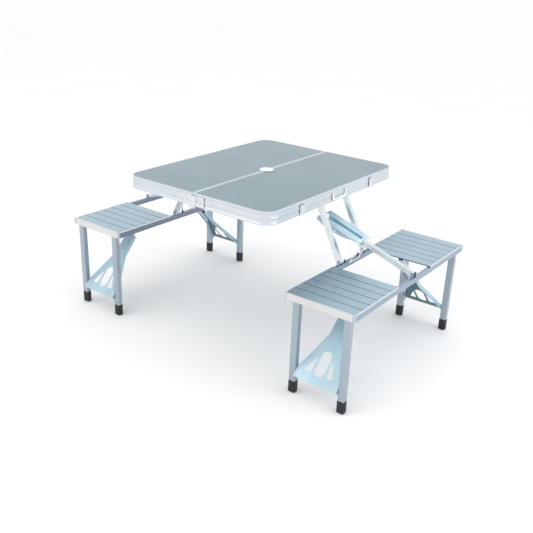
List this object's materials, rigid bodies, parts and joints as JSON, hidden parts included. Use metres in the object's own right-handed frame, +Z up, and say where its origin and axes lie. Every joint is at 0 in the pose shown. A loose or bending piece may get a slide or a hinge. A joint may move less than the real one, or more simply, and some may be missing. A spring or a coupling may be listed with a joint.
{
  "type": "folding picnic table with seats",
  "caption": "Folding picnic table: case-style top in two halves on two benches with slatted seats, legs and sheet braces that fold into the top.",
  "frame": {"origin": "on the ground under the centre of the table top", "axes": "+X across the two benches, +Y along the fold line and the benches, +Z up"},
  "size_m": [1.354, 0.8612, 0.638],
  "materials": {
    "panel": "brushed, lacquered",
    "rim": "brushed extrusion",
    "seat": "brushed",
    "end_rail": "satin",
    "rail": "satin",
    "leg": "satin tube",
    "brace": "light blue zinc-plated pressing",
    "tube": "satin tube",
    "link": "satin",
    "rubber": "matt black",
    "plastic": "white",
    "prop": "white",
    "steel": "plated"
  },
  "bodies": {
    "left_half": {"left_rim": "rim", "left_panel": "panel", "left_pivot_bracket": "steel", "left_front_hinge_leaf": "steel", "left_back_hinge_leaf": "steel"},
    "right_half": {"right_rim": "rim", "right_panel": "panel", "right_pivot_bracket": "steel", "right_front_hinge_leaf": "steel", "right_back_hinge_leaf": "steel"},
    "umbrella_cap": {"umbrella_cap": "plastic"},
    "carry_handle": {"carry_handle": "plastic"},
    "front_latch": {"front_latch": "steel"},
    "back_latch": {"back_latch": "steel"},
    "left_support_tubes": {"left_front_support_tube": "tube", "left_back_support_tube": "tube"},
    "left_bench": {"left_inner_rail": "rail", "left_outer_rail": "rail", "left_front_seat": "seat", "left_back_seat": "seat", "left_front_end_rail": "end_rail", "left_back_end_rail": "end_rail"},
    "left_stay": {"left_stay_tube": "tube"},
    "left_support_brace": {"left_support_brace": "brace"},
    "left_prop": {"left_prop": "prop"},
    "left_front_legs": {"left_front_inner_leg": "leg", "left_front_outer_leg": "leg", "left_front_inner_foot": "rubber", "left_front_outer_foot": "rubber"},
    "left_front_leg_link": {"left_front_leg_link": "link"},
    "left_front_leg_brace": {"left_front_leg_brace": "brace"},
    "left_back_legs": {"left_back_inner_leg": "leg", "left_back_outer_leg": "leg", "left_back_inner_foot": "rubber", "left_back_outer_foot": "rubber"},
    "left_back_leg_link": {"left_back_leg_link": "link"},
    "left_back_leg_brace": {"left_back_leg_brace": "brace"},
    "right_support_tubes": {"right_front_support_tube": "tube", "right_back_support_tube": "tube"},
    "right_bench": {"right_inner_rail": "rail", "right_outer_rail": "rail", "right_front_seat": "seat", "right_back_seat": "seat", "right_front_end_rail": "end_rail", "right_back_end_rail": "end_rail"},
    "right_stay": {"right_stay_tube": "tube"},
    "right_support_brace": {"right_support_brace": "brace"},
    "right_prop": {"right_prop": "prop"},
    "right_front_legs": {"right_front_inner_leg": "leg", "right_front_outer_leg": "leg", "right_front_inner_foot": "rubber", "right_front_outer_foot": "rubber"},
    "right_front_leg_link": {"right_front_leg_link": "link"},
    "right_front_leg_brace": {"right_front_leg_brace": "brace"},
    "right_back_legs": {"right_back_inner_leg": "leg", "right_back_outer_leg": "leg", "right_back_inner_foot": "rubber", "right_back_outer_foot": "rubber"},
    "right_back_leg_link": {"right_back_leg_link": "link"},
    "right_back_leg_brace": {"right_back_leg_brace": "brace"}
  },
  "joints": [
    {"name": "table_fold", "type": "hinge", "parent": "left_half", "child": "right_half", "pos_m": [0, 0, 0.5865], "axis": [0, 1, 0], "range_deg": [0, 62]},
    {"name": "cap_lift", "type": "slide", "parent": "left_half", "child": "umbrella_cap", "axis": [0, 0, 1], "range_m": [0, 0.05]},
    {"name": "handle_swing", "type": "hinge", "parent": "right_half", "child": "carry_handle", "pos_m": [0.3378, 0, 0.618], "axis": [0, -1, 0], "range_deg": [0, 170]},
    {"name": "front_latch_swing", "type": "hinge", "parent": "right_half", "child": "front_latch", "pos_m": [0.33755, -0.235, 0.6205], "axis": [0, -1, 0], "range_deg": [0, 90]},
    {"name": "back_latch_swing", "type": "hinge", "parent": "right_half", "child": "back_latch", "pos_m": [0.33755, 0.235, 0.6205], "axis": [0, -1, 0], "range_deg": [0, 90]},
    {"name": "left_support_fold", "type": "hinge", "parent": "left_half", "child": "left_support_tubes", "pos_m": [-0.293, 0, 0.6165], "axis": [0, 1, 0], "range_deg": [-117.24, 0]},
    {"name": "left_bench_level", "type": "hinge", "parent": "left_support_tubes", "child": "left_bench", "pos_m": [-0.4135, 0, 0.3825], "axis": [0, 1, 0], "range_deg": [0, 117.25]},
    {"name": "left_stay_fold", "type": "hinge", "parent": "left_bench", "child": "left_stay", "pos_m": [-0.66, 0, 0.3845], "axis": [0, 1, 0], "range_deg": [0, 19.25]},
    {"name": "left_brace_fold", "type": "hinge", "parent": "left_stay", "child": "left_support_brace", "pos_m": [-0.44773, 0, 0.455], "axis": [0, 1, 0], "range_deg": [-180.01, 0]},
    {"name": "left_prop_fold", "type": "hinge", "parent": "left_bench", "child": "left_prop", "pos_m": [-0.4225, 0, 0.3685], "axis": [0, 1, 0], "range_deg": [-62.91, 0]},
    {"name": "left_front_leg_fold", "type": "hinge", "parent": "left_bench", "child": "left_front_legs", "pos_m": [-0.548, -0.3975, 0.362], "axis": [-1, 0, 0], "range_deg": [-90, 0]},
    {"name": "left_front_link_fold", "type": "hinge", "parent": "left_bench", "child": "left_front_leg_link", "pos_m": [-0.548, -0.145, 0.362], "axis": [-1, 0, 0], "range_deg": [0, 47.14]},
    {"name": "left_front_brace_fold", "type": "hinge", "parent": "left_front_leg_link", "child": "left_front_leg_brace", "pos_m": [-0.548, -0.26462, 0.23315], "axis": [-1, 0, 0], "range_deg": [-180.01, 0]},
    {"name": "left_back_leg_fold", "type": "hinge", "parent": "left_bench", "child": "left_back_legs", "pos_m": [-0.548, 0.3975, 0.362], "axis": [1, 0, 0], "range_deg": [-90, 0]},
    {"name": "left_back_link_fold", "type": "hinge", "parent": "left_bench", "child": "left_back_leg_link", "pos_m": [-0.548, 0.145, 0.362], "axis": [1, 0, 0], "range_deg": [0, 47.14]},
    {"name": "left_back_brace_fold", "type": "hinge", "parent": "left_back_leg_link", "child": "left_back_leg_brace", "pos_m": [-0.548, 0.26462, 0.23315], "axis": [1, 0, 0], "range_deg": [-180.01, 0]},
    {"name": "right_support_fold", "type": "hinge", "parent": "right_half", "child": "right_support_tubes", "pos_m": [0.293, 0, 0.6165], "axis": [0, -1, 0], "range_deg": [-117.24, 0]},
    {"name": "right_bench_level", "type": "hinge", "parent": "right_support_tubes", "child": "right_bench", "pos_m": [0.4135, 0, 0.3825], "axis": [0, -1, 0], "range_deg": [0, 117.25]},
    {"name": "right_stay_fold", "type": "hinge", "parent": "right_bench", "child": "right_stay", "pos_m": [0.66, 0, 0.3845], "axis": [0, -1, 0], "range_deg": [0, 19.25]},
    {"name": "right_brace_fold", "type": "hinge", "parent": "right_stay", "child": "right_support_brace", "pos_m": [0.44773, 0, 0.455], "axis": [0, -1, 0], "range_deg": [-180.01, 0]},
    {"name": "right_prop_fold", "type": "hinge", "parent": "right_bench", "child": "right_prop", "pos_m": [0.4225, 0, 0.3685], "axis": [0, -1, 0], "range_deg": [-62.91, 0]},
    {"name": "right_front_leg_fold", "type": "hinge", "parent": "right_bench", "child": "right_front_legs", "pos_m": [0.548, -0.3975, 0.362], "axis": [-1, 0, 0], "range_deg": [-90, 0]},
    {"name": "right_front_link_fold", "type": "hinge", "parent": "right_bench", "child": "right_front_leg_link", "pos_m": [0.548, -0.145, 0.362], "axis": [-1, 0, 0], "range_deg": [0, 47.14]},
    {"name": "right_front_brace_fold", "type": "hinge", "parent": "right_front_leg_link", "child": "right_front_leg_brace", "pos_m": [0.548, -0.26462, 0.23315], "axis": [-1, 0, 0], "range_deg": [-180.01, 0]},
    {"name": "right_back_leg_fold", "type": "hinge", "parent": "right_bench", "child": "right_back_legs", "pos_m": [0.548, 0.3975, 0.362], "axis": [1, 0, 0], "range_deg": [-90, 0]},
    {"name": "right_back_link_fold", "type": "hinge", "parent": "right_bench", "child": "right_back_leg_link", "pos_m": [0.548, 0.145, 0.362], "axis": [1, 0, 0], "range_deg": [0, 47.14]},
    {"name": "right_back_brace_fold", "type": "hinge", "parent": "right_back_leg_link", "child": "right_back_leg_brace", "pos_m": [0.548, 0.26462, 0.23315], "axis": [1, 0, 0], "range_deg": [-180.01, 0]}
  ],
  "couplings": [
    {"joint": "left_bench_level", "follows": "left_support_fold", "ratio": -1},
    {"joint": "left_stay_fold", "follows": "left_support_fold", "ratio": -0.16407},
    {"joint": "left_brace_fold", "follows": "left_support_fold", "ratio": 1.5352},
    {"joint": "left_prop_fold", "follows": "left_support_fold", "ratio": 0.53648},
    {"joint": "left_front_link_fold", "follows": "left_front_leg_fold", "ratio": -0.52366},
    {"joint": "left_front_brace_fold", "follows": "left_front_leg_fold", "ratio": 2},
    {"joint": "left_back_link_fold", "follows": "left_back_leg_fold", "ratio": -0.52366},
    {"joint": "left_back_brace_fold", "follows": "left_back_leg_fold", "ratio": 2},
    {"joint": "right_bench_level", "follows": "right_support_fold", "ratio": -1},
    {"joint": "right_stay_fold", "follows": "right_support_fold", "ratio": -0.16407},
    {"joint": "right_brace_fold", "follows": "right_support_fold", "ratio": 1.5352},
    {"joint": "right_prop_fold", "follows": "right_support_fold", "ratio": 0.53648},
    {"joint": "right_front_link_fold", "follows": "right_front_leg_fold", "ratio": -0.52366},
    {"joint": "right_front_brace_fold", "follows": "right_front_leg_fold", "ratio": 2},
    {"joint": "right_back_link_fold", "follows": "right_back_leg_fold", "ratio": -0.52366},
    {"joint": "right_back_brace_fold", "follows": "right_back_leg_fold", "ratio": 2}
  ]
}
